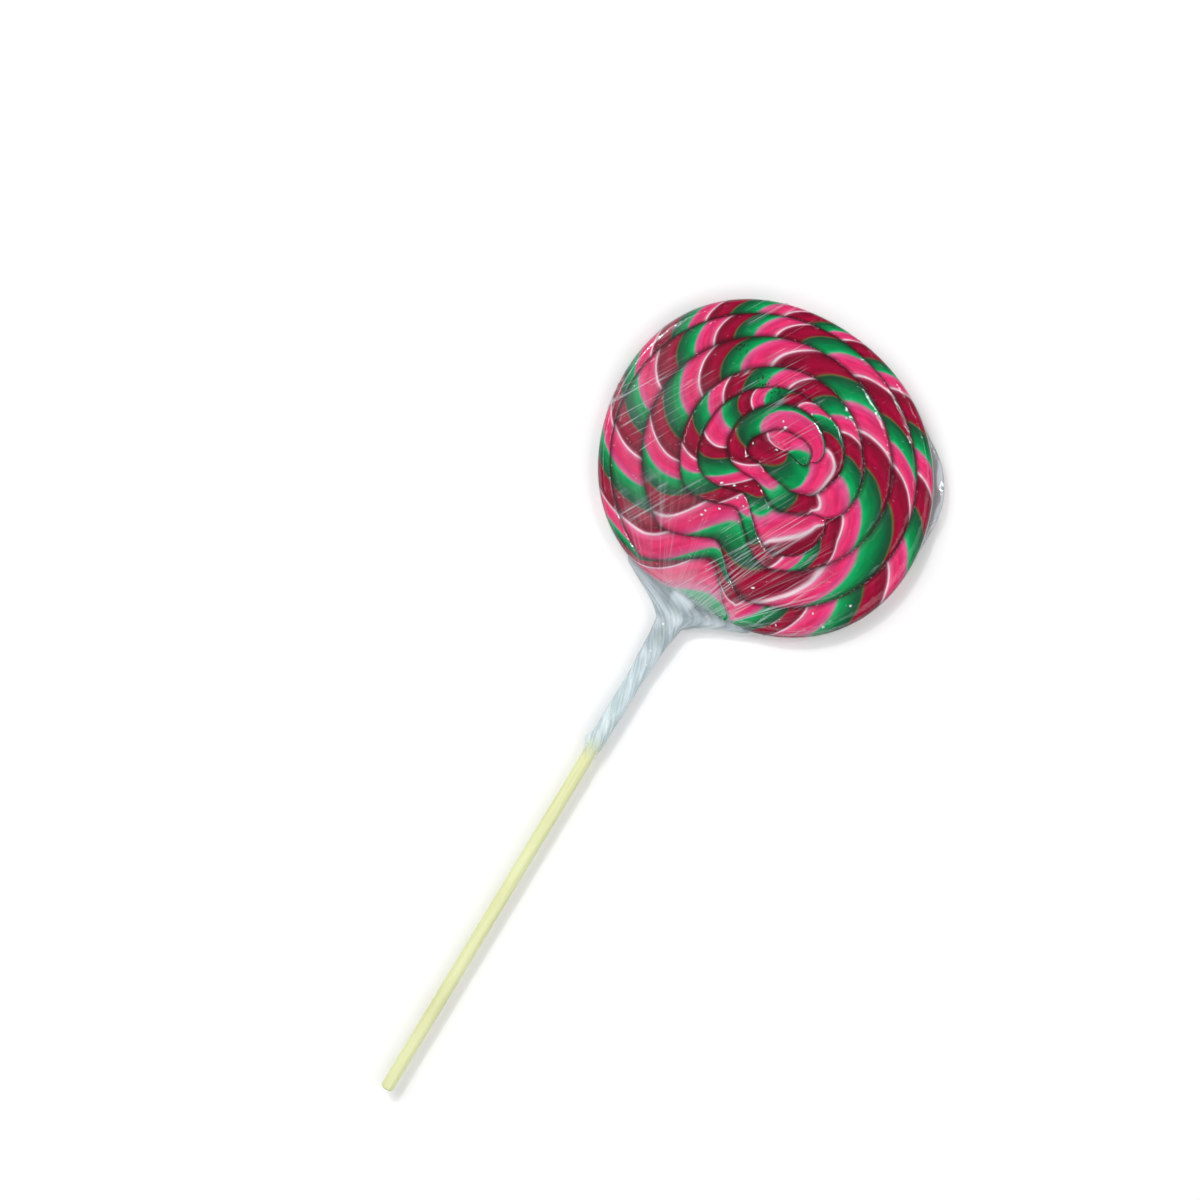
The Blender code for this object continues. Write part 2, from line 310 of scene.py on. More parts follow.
@dataclass(frozen=True)
class SugarFinish:
    """Glossy boiled sugar, striped white, pink, green and crimson along the rope.

    Lengths are in millimetres. Each stop is a share of one repeat and its screen colour.
    """

    roughness: Point = (0.34, 0.46)
    gloss: float = 0.05
    wobble: float = 0.018
    pulled: Triple = (9.0, 1.6, 9.0)
    pulled_tone: Point = (0.80, 1.10)
    # Painted shade in the grooves between the turns: full depth, soft share and tint.
    groove_shade_full: float = 0.76
    groove_shade: float = 0.42
    groove_shade_tint: Colour = (44, 4, 18)
    pit_scale: float = 520.0
    pit_spots: tuple[Point, ...] = ((-36.2, 43.3), (-12.0, 33.7), (-20.2, 35.5), (22.0, -38.0))
    pit_level: float = 12.0
    pit_reach: float = 5.5
    # Painted shade in the pits: its strength and tint.
    pit_shade: float = 0.85
    pit_shade_tint: Colour = (26, 18, 22)
    uneven_scale: float = 240.0
    relief: float = 0.3
    stops: tuple[tuple[float, Colour], ...] = (
        (0.000, (236, 212, 220)), (0.008, (232, 200, 210)), (0.022, (226, 104, 148)),
        (0.070, (222, 58, 112)), (0.180, (224, 41, 104)), (0.260, (218, 64, 124)),
        (0.310, (206, 100, 142)), (0.336, (104, 158, 122)), (0.356, (12, 166, 98)),
        (0.400, (0, 150, 80)), (0.470, (0, 126, 68)), (0.560, (8, 96, 56)),
        (0.636, (28, 72, 50)), (0.658, (86, 98, 50)), (0.674, (136, 40, 46)),
        (0.700, (146, 0, 46)), (0.790, (157, 0, 52)), (0.880, (135, 2, 43)),
        (0.945, (126, 8, 44)), (0.978, (164, 68, 96)), (0.992, (226, 184, 196)),
    )

    def stripe(self, graph: Graph, turn: Socket) -> Socket:
        """Colour along one repeat of the stripes.

        Args:
            graph: the material's graph.
            turn: 0 at a white line, 1 at the next.

        Returns:
            The colour socket.
        """
        ramp = graph.add("ShaderNodeValToRGB", {0: turn})
        elements = ramp.color_ramp.elements
        while len(elements) > 1:
            elements.remove(elements[-1])
        elements[0].position = 0.0
        elements[0].color = shade(*self.stops[0][1])
        for position, colour in (*self.stops[1:], (1.0, self.stops[0][1])):
            elements.new(position).color = shade(*colour)
        return ramp.outputs[0]

    def pits(self, graph: Graph, place: Socket) -> Socket:
        """Mask of painted shade: near-black dots for small pits, which stand in a few clusters.

        Args:
            graph: the material's graph.
            place: Object coordinates.

        Returns:
            The mask socket.
        """
        cells = graph.add("ShaderNodeTexVoronoi", {"Vector": place, "Scale": self.pit_scale},
                          voronoi_dimensions="2D")
        dots = graph.span(cells.outputs["Distance"], 0.16, 0.30, 1.0, 0.0)
        near = graph.spots(place, self.pit_spots, self.pit_level,
                           0.3 * self.pit_reach, self.pit_reach)
        return graph.times(graph.times(dots, near), self.pit_shade)

    def build(self) -> bpy.types.Material:
        """Make the material; it reads the piece's own UV map, phase and share across.

        Returns:
            The material.
        """
        material, graph, shader = fresh("candy_sugar")
        rope, place = graph.rope(), graph.place()
        phase, share, _ = graph.parts(rope)
        wobble = graph.times(graph.minus(graph.noise(place, 90.0, 1.0), 0.5), self.wobble)
        colour = self.stripe(graph, graph.math("FRACT", graph.plus(phase, wobble)))
        pulled, _ = streaks(graph, rope, self.pulled)
        tone = graph.span(pulled, 0.3, 0.7, *self.pulled_tone)
        colour = graph.mix(1.0, colour, graph.vector(tone, tone, tone), "MULTIPLY")
        # Painted shade: the colour is darkened towards the grooves between the turns.
        away = graph.off_middle(share)
        groove_shade_mask = graph.plus(graph.span(away, 0.86, 0.98, 0.0, self.groove_shade_full - self.groove_shade),
                          graph.span(away, 0.62, 1.0, 0.0, self.groove_shade))
        colour = graph.mix(groove_shade_mask, colour, shade(*self.groove_shade_tint))
        # Painted shade: near-black dots where the small pits are.
        colour = graph.mix(self.pits(graph, place), colour, shade(*self.pit_shade_tint))
        uneven = graph.noise(place, self.uneven_scale)
        height = graph.plus(graph.times(uneven, 0.5), graph.times(pulled, 0.5))
        graph.feed(shader, {
            "Base Color": colour,
            "Roughness": graph.span(uneven, 0.35, 0.7, *self.roughness),
            "Normal": graph.bump(height, 0.4, self.relief),
            "Specular IOR Level": self.gloss,
        })
        return material


@dataclass(frozen=True)
class FilmFinish:
    """Clear film: a thin mirror layer, milky where it is creased or doubled, with painted
    highlights.

    The shares clear to bead_glints say how white each effect is; lengths are in millimetres.
    The slant is in degrees, and right points to the side of the disc that has the ear.
    """

    name: str
    clear: float = 0.038
    milky: float = 0.3
    # White streaks: partly creased film, partly painted highlight.
    lines: float = 0.26
    pleats: float = 0.16
    veil: float = 0.07
    # Painted highlights: white dots along the grooves on the right.
    bead_glints: float = 0.16
    creases: float = 1.0
    dimples: float = 1.3
    # Painted highlights: white spots where creased film would catch a lamp.
    glints: tuple[Point, ...] = (
        (-2.8, 24.6), (-0.8, 22.6), (20.3, 40.4), (1.0, 11.9), (-9.6, 8.9), (-12.3, -13.5),
        (-6.8, -11.3), (1.5, -17.3), (-11.8, -27.5), (-12.7, -30.3), (6.4, 33.8), (24.2, -46.4),
        (7.9, -66.8), (15.9, -66.7), (52.9, -42.5), (60.2, -45.1), (65.9, -30.6), (41.9, -55.0),
        (-2.8, -15.4), (-7.1, -23.8),
    )
    glint_size: float = 0.75
    glint_ruffle: float = 1.4
    neck: Point = (0.0, -88.0)
    cloud_reach: Point = (8.0, 46.0)
    fan_reach: Point = (40.0, 100.0)
    fan: Triple = (15.0, 6.0, 24.0)
    taut: Triple = (200.0, 4.5, 64.0)
    slant: float = 29.0
    right: Point = (0.855, 0.518)
    cover_scale: float = 40.0
    roughness: float = 0.09
    relief: float = 0.6
    tint: Colour = (216, 228, 234)

    def fan_haze(self, graph: Graph, place: Socket) -> Socket:
        """Creases, pleats and milky cloud that run out from the neck; the white crease lines are
        partly painted highlight.

        Args:
            graph: the material's graph.
            place: Object coordinates.

        Returns:
            The haze socket.
        """
        x, y, z = graph.parts(place)
        dx, dy = graph.minus(x, self.neck[0] * MM), graph.minus(y, self.neck[1] * MM)
        reach = graph.length(dx, dy)
        bearing = graph.math("ARCTAN2", dx, dy)
        tone, line = streaks(graph, graph.vector(bearing, reach, z), self.fan)
        middle = graph.times(graph.reach(reach, *self.fan_reach, 1.0, 0.0),
                             graph.span(bearing, 0.1, 0.5, 0.3, 1.0))
        bundle = graph.noise(graph.vector(bearing, 0.0, 0.0), 5.0, 0.0)
        # White crease lines: partly creased film, partly painted highlight.
        lines = graph.times(graph.times(line, middle),
                            graph.span(bundle, 0.40, 0.55, 0.4 * self.lines, 1.4 * self.lines))
        pleats = graph.times(middle, graph.span(tone, 0.52, 0.70, 0.0, self.pleats))
        cloud = graph.times(graph.reach(reach, *self.cloud_reach, 1.0, 0.0),
                            graph.span(tone, 0.3, 0.7, 0.7, 1.0))
        return graph.plus(graph.plus(graph.times(cloud, self.milky), lines), pleats)

    def flat_haze(self, graph: Graph, place: Socket, cover: Socket) -> Socket:
        """Taut slanting streaks, partly painted highlight, a thin veil at the left and
        bead_glints, dots of painted highlight over the right grooves.

        Args:
            graph: the material's graph.
            place: Object coordinates.
            cover: broad noise that makes the haze patchy.

        Returns:
            The haze socket.
        """
        x, y, _ = graph.parts(place)
        aside = graph.plus(graph.times(x, self.right[0]), graph.times(y, self.right[1]))
        turn = (0.0, 0.0, math.radians(self.slant))
        turned = graph.add("ShaderNodeMapping", {"Vector": place, "Rotation": turn})
        # Taut white streaks: partly taut film, partly painted highlight.
        _, line = streaks(graph, turned.outputs[0], self.taut)
        patchy = graph.times(graph.reach(aside, 12.0, 45.0, 1.0, 0.3),
                             graph.span(cover, 0.44, 0.58, 0.0, self.lines))
        veil = graph.times(graph.reach(aside, 5.0, -45.0, 0.0, self.veil),
                           graph.span(cover, 0.30, 0.70, 0.4, 1.4))
        # Painted highlights: white dots along the right-hand grooves.
        dots = graph.times(graph.span(graph.noise(place, 1300.0, 0.0), 0.58, 0.70),
                           graph.reach(aside, 0.0, 30.0, 0.0, self.bead_glints))
        away = graph.off_middle(graph.parts(graph.rope())[1])
        bead_glints = graph.times(graph.span(away, 0.88, 0.95), dots)
        return graph.plus(graph.times(line, patchy), graph.plus(veil, bead_glints))

    def sparkle(self, graph: Graph, place: Socket) -> Socket:
        """Painted highlights: small ruffled white spots where creased film would catch a lamp.

        Args:
            graph: the material's graph.
            place: Object coordinates.

        Returns:
            The mask socket.
        """
        x, y, _ = graph.parts(place)
        ruffle = graph.minus(graph.noise(place, 700.0, 0.0), 0.5)
        ruffle = graph.times(ruffle, self.glint_ruffle * MM)
        bent = graph.vector(graph.plus(x, ruffle), graph.plus(y, ruffle))
        return graph.spots(bent, self.glints, 0.0, 0.3 * self.glint_size, self.glint_size)

    def build(self) -> bpy.types.Material:
        """Make the material in Object coordinates.

        Returns:
            The material.
        """
        material, graph, shader = fresh(self.name)
        place = graph.place()
        cover = graph.noise(place, self.cover_scale, 1.0)
        haze = graph.plus(self.fan_haze(graph, place), self.flat_haze(graph, place, cover), True)
        # Painted highlights: the glint spots make the film white and nearly opaque.
        if self.glints:
            haze = graph.math("MAXIMUM", haze, graph.times(self.sparkle(graph, place), 0.92))
        crinkle = graph.noise(place, 300.0, 1.0)
        dimple = graph.span(crinkle, 0.67, 0.80, 0.0, self.dimples)
        rise = graph.plus(graph.times(cover, 0.8), graph.plus(dimple, graph.times(crinkle, 0.35)))
        graph.feed(shader, {
            "Base Color": shade(*self.tint),
            "Metallic": graph.span(haze, 0.0, 0.2, 1.0, 0.0),
            "Roughness": self.roughness,
            "Alpha": graph.plus(self.clear, haze, clamp=True),
            "Normal": graph.bump(rise, self.creases, self.relief),
        })
        material.surface_render_method = "BLENDED"
        return material


@dataclass(frozen=True)
class SleeveFinish:
    """Film gathered and wound in many layers: frosty, blue-grey, with slanting wrinkles.

    Thin, dense and worn say how much the film hides; lengths are in millimetres.
    """

    thin: float = 0.10
    dense: float = 0.86
    worn: float = 0.08
    turns: float = 1.6
    wound: Triple = (20.0, 7.0, 9.0)
    gathered: Point = (62.5, 75.5)
    core: Point = (3.5, 9.0)
    core_start: Point = (-60.0, -67.5)
    worn_from: Point = (-98.0, -128.0)
    fade: Point = (-137.0, -152.2)
    ragged: float = 4.0
    low: Point = (-80.0, -115.0)
    deep: Colour = (156, 172, 180)
    pale: Colour = (211, 223, 229)
    deep_low: Colour = (194, 216, 228)
    pale_low: Colour = (232, 247, 253)
    # Painted highlights: a few white spots on the sleeve, with this tint.
    glints: tuple[Point, ...] = ((-0.4, -94.3), (1.3, -100.8), (-1.9, -81.1), (13.2, -68.1))
    glint_tint: Colour = (252, 254, 255)
    roughness: Point = (0.08, 0.22)
    dents: float = 0.12
    relief: float = 1.7

    def hiding(self, graph: Graph, place: Socket, tone: Socket) -> Socket:
        """How much the film hides: more where it is gathered, less towards its ragged end.

        Args:
            graph: the material's graph.
            place: Object coordinates.
            tone: the wrinkles.

        Returns:
            The alpha socket.
        """
        x, y, _ = graph.parts(place)
        core = graph.times(graph.reach(graph.math("ABSOLUTE", x), *self.core, self.dense, 0.0),
                           graph.reach(y, *self.core_start))
        full = graph.reach(graph.length(x, y), *self.gathered, self.thin, self.dense)
        ragged = graph.plus(y, graph.times(graph.minus(tone, 0.5), self.ragged * MM))
        worn = graph.plus(graph.reach(y, *self.worn_from, 0.0, self.worn),
                          graph.reach(ragged, *self.fade, 0.0, self.dense - self.worn))
        body = graph.minus(graph.math("MAXIMUM", core, full), worn)
        return graph.times(body, graph.span(tone, 0.3, 0.7, 0.86, 1.12), clamp=True)

    def build(self) -> bpy.types.Material:
        """Make the material in Object coordinates and the piece's own UV map.

        Returns:
            The material.
        """
        material, graph, shader = fresh("film_gathered")
        place = graph.place()
        x, y, _ = graph.parts(place)
        along, around, _ = graph.parts(graph.rope())
        helix = graph.plus(around, graph.times(along, self.turns))
        wound, _ = streaks(graph, graph.vector(helix, along), self.wound)
        wide = graph.vector(graph.times(helix, 5.0), graph.times(along, 9.0))
        broad = graph.noise(wide, 1.0, 1.0)
        tone = graph.plus(graph.times(wound, 0.5), graph.times(broad, 0.5))
        low = graph.reach(y, *self.low)
        colour = graph.mix(graph.span(tone, 0.32, 0.68),
                           graph.mix(low, shade(*self.deep), shade(*self.deep_low)),
                           graph.mix(low, shade(*self.pale), shade(*self.pale_low)))
        # Painted highlights: the colour turns white at a few spots.
        painted_glint = graph.spots(graph.vector(x, y), self.glints, 0.0, 0.1, 0.8)
        dents = graph.span(graph.noise(place, 420.0, 1.0), 0.60, 0.76, 0.0, self.dents)
        graph.feed(shader, {
            "Base Color": graph.mix(painted_glint, colour, shade(*self.glint_tint)),
            "Roughness": graph.span(broad, 0.3, 0.7, *self.roughness),
            "Alpha": self.hiding(graph, place, tone),
            "Normal": graph.bump(graph.plus(tone, dents), 1.0, self.relief),
        })
        material.surface_render_method = "BLENDED"
        return material


@dataclass(frozen=True)
class WoodFinish:
    """Plain pale birch dowel with fine grain along its length."""

    light: Colour = (223, 229, 177)
    deep: Colour = (208, 206, 150)
    grain: Triple = (620.0, 26.0, 6.0)
    cloud_scale: float = 24.0
    roughness: Point = (0.55, 0.7)
    relief: float = 0.2

    def build(self) -> bpy.types.Material:
        """Make the material in Object coordinates.

        Returns:
            The material.
        """
        material, graph, shader = fresh("stick_wood")
        place = graph.place()
        grain, _ = streaks(graph, place, self.grain)
        cloudy = graph.noise(place, self.cloud_scale, 1.0)
        share = graph.plus(graph.times(grain, 0.3), graph.times(cloudy, 0.3))
        tone = graph.span(share, 0.20, 0.50)
        graph.feed(shader, {
            "Base Color": graph.mix(tone, shade(*self.light), shade(*self.deep)),
            "Roughness": graph.span(cloudy, 0.3, 0.7, *self.roughness),
            "Normal": graph.bump(grain, 0.4, self.relief),
        })
        return material


def put(name: str, data: bpy.types.ID) -> bpy.types.Object:
    """Put a new object in the scene, at the origin.

    Args:
        name: object name.
        data: its mesh, lamp or camera.

    Returns:
        The object.
    """
    item = bpy.data.objects.new(name, data)
    bpy.context.scene.collection.objects.link(item)
    return item


def settle(mesh: Mesh, name: str) -> bpy.types.Object:
    """Turn a bmesh into an object in the scene and free it.

    Args:
        mesh: the mesh, in metres and in place.
        name: object name.

    Returns:
        The object.
    """
    data = bpy.data.meshes.new(name)
    mesh.to_mesh(data)
    mesh.free()
    return put(name, data)


def open_edges(mesh: Mesh) -> list[bmesh.types.BMEdge]:
    """Edges with a face on one side only."""
    return [edge for edge in mesh.edges if edge.is_boundary]


def wear(mesh: Mesh, name: str, material: bpy.types.Material,
         nodes: tuple[str, ...]) -> bpy.types.Object:
    """Turn a bmesh into a finished smooth piece that stands for CAD nodes.

    Args:
        mesh: the piece's mesh, in metres and in place.
        name: piece name.
        material: its finish.
        nodes: CAD nodes that it replaces.

    Returns:
        The piece.
    """
    for face in mesh.faces:
        face.smooth = True
    piece = settle(mesh, name)
    piece.data.materials.append(material)
    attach(piece, "root")
    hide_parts(*nodes)
    LOG.info("%s: %d faces", name, len(piece.data.polygons))
    return piece


def sheet(mesh: Mesh, columns: int, rows: int,
          place: Callable[[float, float], Triple], flip: bool = False,
          mark: Callable[[float, float], Point] | None = None) -> None:
    """Add a grid and lay each of its points by a rule.

    Args:
        mesh: where the grid goes.
        columns: faces along the first share.
        rows: faces along the second share.
        place: gives a point in millimetres for two shares from 0 to 1.
        flip: turn the faces over.
        mark: gives the "rope" UV for the two shares.
    """
    layer = mesh.loops.layers.uv.get("rope") or mesh.loops.layers.uv.new("rope")
    grid = bmesh.ops.create_grid(mesh, x_segments=columns, y_segments=rows, size=0.5)
    faces = {face for vert in grid["verts"] for face in vert.link_faces}
    shares = {vert: (vert.co.x + 0.5, vert.co.y + 0.5) for vert in grid["verts"]}
    if mark:
        marks = {vert: mark(*pair) for vert, pair in shares.items()}
        for face in faces:
            for loop in face.loops:
                loop[layer].uv = marks[loop.vert]
    for vert, pair in shares.items():
        vert.co = Vector(place(*pair)) * MM
    if flip:
        bmesh.ops.reverse_faces(mesh, faces=list(faces))


def swells(winding: float, humps: tuple[tuple[float, ...], ...]) -> float:
    """Sum of smooth humps along the winding.

    Args:
        winding: degrees of winding.
        humps: height, start and end of the rise, start and end of the fall of each.

    Returns:
        The height there.
    """
    return sum(height * ease(winding, start, full) * (1.0 - ease(winding, fall, end))
               for height, start, full, fall, end in humps)


@dataclass(frozen=True)
class Coil:
    """Law of the coil: where each strand's edges run, seen from above."""

    phase: float = 31.2
    heart: Point = (5.66, 13.94)
    drift: Point = (-0.847, -3.195)
    oval: float = 0.043
    oval_axis: float = -19.1
    long_law: Triple = (16.88, 20.95, -1.528)
    short_law: Point = (4.74, 21.37)
    long_ends: Point = (-25.0, 1695.0)
    short_ends: Point = (-50.0, 665.0)
    long_humps: tuple[tuple[float, ...], ...] = (
        (-4.5, 250, 280, 296, 306), (2.8, 300, 316, 330, 372),
    )
    short_humps: tuple[tuple[float, ...], ...] = (
        (2.0, 125, 160, 185, 220), (-2.6, 225, 262, 280, 330), (2.2, 325, 350, 375, 420),
    )
    tongue: float = 11.2
    tongue_end: float = -5.0
    tongue_merge: float = 90.0
    lobe_start: float = 635.0
    dent_depths: Triple = (12.0, 6.0, 3.5)
    dent_shifts: Point = (4.5, 5.0)
    dent_left: float = 26.0
    dent_right: float = 23.0
    radius: float = 75.4
    waves: tuple[Point, ...] = ((3.57, 58.3), (3.65, -13.4), (1.02, -8.8), (1.02, -37.8))

    def outline(self, angle: float, offset: float = 0.0) -> Point:
        """Point of the disc's outline.

        Args:
            angle: direction in radians.
            offset: how far outside the outline.

        Returns:
            x and y.
        """
        radius = self.radius + offset
        for order, (amplitude, direction) in enumerate(self.waves, start=1):
            radius += amplitude * math.cos(order * (angle - math.radians(direction)))
        return radius * math.cos(angle), radius * math.sin(angle)

    def dent_share(self, turn: float, strand: Strand) -> float:
        """Share of the stick's dent that a strand takes.

        Args:
            turn: turns of winding.
            strand: which strand.

        Returns:
            A share from 0 to 1.
        """
        if strand is Strand.SHORT:
            return 0.6 * ease(turn, 0.42, 0.62) + 0.4 * ease(turn, 1.0, 1.4)
        return ease(turn, 0.30, 0.60)

    def spiral(self, winding: float, radius: float, strand: Strand) -> Point:
        """Point at a winding angle and radius, with the dent that the stick pressed in.

        Args:
            winding: degrees of winding.
            radius: distance from the drifting centre.
            strand: whose edge it is.

        Returns:
            x and y.
        """
        turn = winding / 360.0
        angle = math.radians(winding + self.phase)
        grow = min(1.0, max(0.0, turn / 2.0))
        oval = 1.0 + self.oval * math.cos(2.0 * (angle - math.radians(self.oval_axis))) * grow
        x = self.heart[0] + self.drift[0] * turn + radius * oval * math.cos(angle)
        y = self.heart[1] + self.drift[1] * turn + radius * oval * math.sin(angle)
        first, second, third = self.dent_depths
        push = first + second * ease(turn, 0.8, 1.5) + third * ease(turn, 2.9, 3.6)
        peak = self.dent_shifts[0] * (1.0 - ease(turn, 0.8, 1.2))
        peak += self.dent_shifts[1] * ease(turn, 3.2, 3.6)
        west = 0.5 * (math.hypot(x, 3.0) - x)
        east = 0.5 * (math.hypot(x - peak, 4.5) + x - peak)
        left = max(0.0, 1.04 - west / self.dent_left) ** 1.2
        right = max(0.0, 1.08 - east / self.dent_right) ** 1.5
        below = ease(-math.sin(angle), 0.1, 0.6)
        return x, y + push * left * right * below * self.dent_share(turn, strand)

    def long_radius(self, winding: float) -> float:
        """Outer radius of the long strand.

        Args:
            winding: degrees of winding.

        Returns:
            The radius.
        """
        turn = winding / 360.0
        law = self.long_law[0] + self.long_law[1] * turn + self.long_law[2] * turn * turn
        if winding < 0.0:
            start = 1.0 - (winding - self.long_ends[0]) / -self.long_ends[0]
            inner = self.short_radius(winding)
            return inner + (law - inner) * math.sqrt(max(0.0, 1.0 - start * start))
        return law + swells(winding, self.long_humps)

    def short_radius(self, winding: float) -> float:
        """Outer radius of the short strand.

        Args:
            winding: degrees of winding.

        Returns:
            The radius.
        """
        turn = winding / 360.0
        law = self.short_law[0] + self.short_law[1] * turn
        if winding < self.tongue_merge:
            half = self.tongue_end - self.short_ends[0]
            offset = min(0.0, winding - self.tongue_end) / half
            tongue = self.tongue * math.sqrt(max(0.0, 1.0 - abs(offset) ** 8))
            return tongue + (law - tongue) * ease(winding, self.tongue_end, self.tongue_merge)
        law += swells(winding, self.short_humps)
        if winding > self.lobe_start:
            inner = self.long_radius(winding - 360.0)
            end = (winding - self.lobe_start) / (self.short_ends[1] - self.lobe_start)
            return inner + (law - inner) * math.sqrt(max(0.0, 1.0 - end * end))
        return law

    def on_outline(self, strand: Strand, winding: float) -> bool:
        """True where a strand's outer edge is the disc's outline."""
        return strand is Strand.LONG and winding >= self.long_ends[1] - 360.0

    def outer(self, strand: Strand, winding: float, offset: float = 0.0) -> tuple[Point, bool]:
        """Outer edge of a strand.

        Args:
            strand: which strand.
            winding: degrees of winding.
            offset: how far outside the disc's outline.

        Returns:
            The point, and True if it lies on the outline.
        """
        if strand is Strand.SHORT:
            if winding <= self.short_ends[0]:
                return self.heart, False
            if winding >= self.short_ends[1]:
                return self.outer(Strand.LONG, winding - 360.0, offset)
            return self.spiral(winding, self.short_radius(winding), strand), False
        if winding <= self.long_ends[0]:
            return self.outer(Strand.SHORT, winding, offset)
        if winding >= self.long_ends[1]:
            winding -= 360.0
        point = self.spiral(winding, self.long_radius(winding), strand)
        if self.on_outline(strand, winding):
            return self.outline(math.atan2(point[1], point[0]), offset), True
        return point, False

    def inner(self, strand: Strand, winding: float, offset: float = 0.0) -> tuple[Point, bool]:
        """Inner edge of a strand, which is the outer edge of the one inside it.

        Args:
            strand: which strand.
            winding: degrees of winding.
            offset: how far outside the disc's outline.

        Returns:
            The point, and True if it lies on the outline.
        """
        if strand is Strand.LONG:
            if winding <= self.short_ends[1]:
                return self.outer(Strand.SHORT, winding, offset)
            return self.outer(Strand.LONG, winding - 360.0, offset)
        if winding - 360.0 <= self.long_ends[0]:
            return self.outer(Strand.SHORT, winding - 360.0, offset)
        return self.outer(Strand.LONG, winding - 360.0, offset)

    def ends(self, strand: Strand) -> Point:
        """First and last winding of a strand."""
        return self.long_ends if strand is Strand.LONG else self.short_ends


@dataclass(frozen=True)
class Stripes:
    """Where the coloured stripes cross the middle of each strand, in degrees of winding.

    Each row is one repeat: the white line, the two colour changes after it, and how far
    the stripes lean back across the rope. The starts give that lean before the first whole
    repeat, and thick gives the lines and changes that are made thicker or thinner: strand,
    phase, factor and half width.
    """

    long_rows: tuple[Row, ...] = (
        (-200, 126, 164, 18), (208, 248, 280, 24), (305, 336, 356, 20), (377, 395, 416, 16),
        (437, 456, 474, 18), (490, 504, 520, 15), (537, 549, 572, 10), (587, 600, 613, 8),
        (630, 641, 652, 8), (667, 684, 706, 24), (731, 754, 777, 20), (805, 825, 838, 30),
        (852, 866, 880, 24), (893, 905, 917, 24), (930, 952, 971, 12), (1001, 1024, 1053, 36),
        (1072, 1084, 1098, 18), (1121, 1138, 1152, 20), (1164, 1174, 1183, 16),
        (1192, 1201, 1210, 14), (1221, 1232, 1242, 14), (1252, 1264, 1275, 14),
        (1287, 1314, 1325, 18), (1333, 1342, 1352, 14), (1359, 1372, 1384, 14),
        (1397, 1409, 1422, 10), (1435, 1445, 1456, 8), (1471, 1479, 1486, 8),
        (1497, 1503, 1510, 10), (1520, 1530, 1540, 12), (1549, 1556, 1563, 12),
        (1572, 1581, 1590, 12), (1600, 1610, 1620, 12), (1632, 1642, 1652, 12),
        (1662, 1684, 1710, 26), (1735, 1750, 1765, 20),
    )
    short_rows: tuple[Row, ...] = (
        (-130, -80, 4, 20), (146, 242, 322, 30), (353, 380, 408, 33), (428, 447, 466, 20),
        (479, 492, 508, 18), (531, 544, 566, 18), (581, 598, 609, 14), (634, 690, 720, 14),
        (740, 760, 780, 14),
    )
    long_start: tuple[Point, ...] = (
        (-25, 230), (30, 214), (60, 168), (90, 120), (120, 70), (152, 22), (208, 22),
    )
    short_start: tuple[Point, ...] = (
        (-50, 20), (200, 30), (262, 80), (305, 78), (320, 60), (336, 40), (345, 34), (356, 33),
    )
    lobe: Point = (611.0, 625.0)
    thick: tuple[tuple[Strand, float, float, float], ...] = (
        (Strand.SHORT, 1, 0.35, 0.03), (Strand.SHORT, 2, 1.9, 0.03), (Strand.SHORT, 7, 1.7, 0.03),
        (Strand.LONG, 1 / 3, 0.3, 0.09), (Strand.LONG, 1, 0.8, 0.03), (Strand.LONG, 15, 1.9, 0.03),
        (Strand.SHORT, 5 / 3, 0.5, 0.09),
    )

    def lean(self, strand: Strand, winding: float) -> float:
        """How far the stripes lean.

        Args:
            strand: which strand.
            winding: degrees of winding.

        Returns:
            Degrees of winding across the whole width.
        """
        rows = self.long_rows if strand is Strand.LONG else self.short_rows
        start = self.long_start if strand is Strand.LONG else self.short_start
        if winding < start[-1][0]:
            rows = start
        for low, high in zip(rows, rows[1:]):
            if winding < high[0]:
                share = max(0.0, (winding - low[0]) / (high[0] - low[0]))
                return low[-1] + (high[-1] - low[-1]) * share
        return rows[-1][-1]

    def swollen(self, strand: Strand, value: float) -> float:
        """Phase with some of the lines and colour changes made thicker or thinner.

        Args:
            strand: which strand.
            value: the even phase.

        Returns:
            The phase.
        """
        limit = 0.3
        for name, index, factor, core in self.thick:
            gap = value - index
            if name is strand and abs(gap) < limit:
                reach = core * factor
                if abs(gap) < reach:
                    return index + gap / factor
                rest = core + (abs(gap) - reach) * (limit - core) / (limit - reach)
                return index + math.copysign(rest, gap)
        return value

    def phase(self, strand: Strand, winding: float, share: float) -> float:
        """Stripe phase at a point of a strand; whole numbers are white lines.

        Args:
            strand: which strand.
            winding: degrees of winding.
            share: 0 at the inner edge, 1 at the outer edge.

        Returns:
            The phase; the short strand shows its colours in the opposite order.
        """
        rows = self.long_rows if strand is Strand.LONG else self.short_rows
        side = share - 0.5
        middle = winding + self.lean(strand, winding) * (side + 0.5 * side * side)
        for index, (low, high) in enumerate(zip(rows, rows[1:])):
            if low[0] <= middle < high[0]:
                stops = (low[0], low[1], low[2], high[0])
                for part in range(3):
                    if middle < stops[part + 1] or part == 2:
                        along = (middle - stops[part]) / (stops[part + 1] - stops[part])
                        value = index + (part + along) / 3.0
                        if strand is Strand.SHORT:
                            line = 0.47 + 0.53 * math.exp((self.lobe[0] + 2.0 - winding) / 14.0)
                            aim = 7.0 + 0.45 * (share - line)
                            value += ease(winding, *self.lobe) * (aim - value)
                        value = self.swollen(strand, value)
                        return value if strand is Strand.LONG else 40.0 - value
        return 0.0


